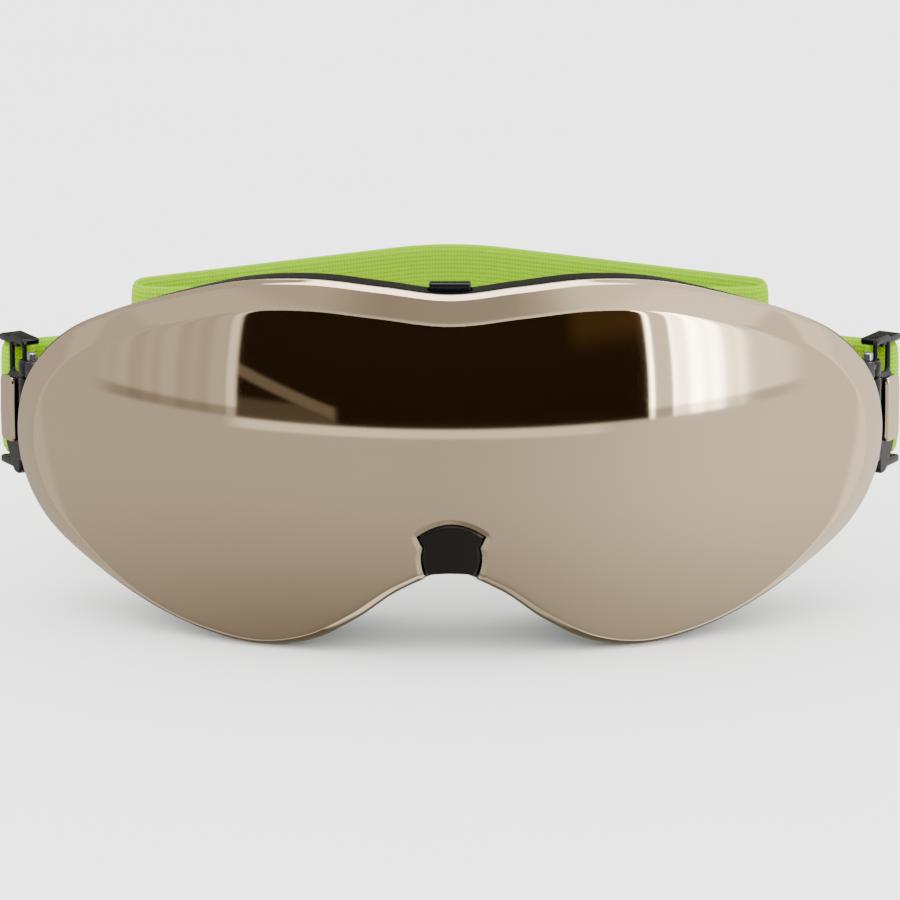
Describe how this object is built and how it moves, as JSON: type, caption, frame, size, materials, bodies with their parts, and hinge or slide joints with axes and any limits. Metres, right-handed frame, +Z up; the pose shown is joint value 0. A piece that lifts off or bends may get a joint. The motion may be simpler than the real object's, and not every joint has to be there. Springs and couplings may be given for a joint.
{
  "type": "ski goggles",
  "caption": "Wrap-round ski goggles with a mirrored double lens, hinged strap outriggers, layered face foam and a folded elastic head strap.",
  "frame": {"origin": "centre of the footprint, on the surface the goggles stand on", "axes": "+X across the face to the right as seen from in front of the lens, +Y from the lens back to the head strap, +Z up"},
  "size_m": [0.1876, 0.1352, 0.077],
  "materials": {
    "mirror_lens": "champagne mirror coating on polycarbonate",
    "inner_lens": "clear tinted",
    "gasket": "soft foam seal",
    "gloss_black": "polished moulded plastic",
    "frame_black": "fine-grained moulded TPU",
    "foam": "open-cell foam",
    "fleece": "brushed fleece",
    "pin_steel": "ground stainless steel",
    "cover_mirror": "champagne mirrored trim",
    "strap": "lime knitted elastic",
    "silicone": "satin printed silicone"
  },
  "bodies": {
    "frame": {"lens_carrier": "gloss_black", "nose_hook": "gloss_black", "frame_shell": "frame_black", "vent_filter_top": "foam", "vent_filter_bottom_right": "foam", "vent_filter_bottom_left": "foam", "foam_base": "foam", "foam_soft": "foam", "face_fleece": "fleece", "hinge_pin_right": "pin_steel", "hinge_pin_left": "pin_steel", "strap_band": "strap", "strap_grip_right": "silicone", "strap_grip_left": "silicone"},
    "lens": {"outer_lens": "mirror_lens", "lens_gasket": "gasket", "inner_lens": "inner_lens"},
    "latch": {"top_latch": "gloss_black"},
    "outrigger_arm_right": {"outrigger_right": "gloss_black", "outrigger_cover_right": "cover_mirror", "strap_end_right": "strap"},
    "outrigger_arm_left": {"outrigger_left": "gloss_black", "outrigger_cover_left": "cover_mirror", "strap_end_left": "strap"},
    "adjuster_right": {"slider_right": "frame_black"},
    "adjuster_left": {"slider_left": "frame_black"}
  },
  "joints": [
    {"name": "lens_release", "type": "slide", "parent": "frame", "child": "lens", "axis": [0, -1, 0], "range_m": [0, 0.03]},
    {"name": "latch_press", "type": "slide", "parent": "frame", "child": "latch", "axis": [0, 0, -1], "range_m": [0, 0.0012], "stiffness_N_per_m": 800},
    {"name": "outrigger_swing_right", "type": "hinge", "parent": "frame", "child": "outrigger_arm_right", "pos_m": [0.0861, -0.01341, 0.0418], "axis": [0, 0, -1], "range_deg": [-5, 25]},
    {"name": "outrigger_swing_left", "type": "hinge", "parent": "frame", "child": "outrigger_arm_left", "pos_m": [-0.0861, -0.01341, 0.0418], "axis": [0, 0, 1], "range_deg": [-5, 25]},
    {"name": "adjust_right", "type": "slide", "parent": "frame", "child": "adjuster_right", "axis": [-0.9237, 0.3819, 0.0298], "range_m": [-0.008, 0.008]},
    {"name": "adjust_left", "type": "slide", "parent": "frame", "child": "adjuster_left", "axis": [0.9237, 0.3819, 0.0298], "range_m": [-0.008, 0.008]}
  ]
}
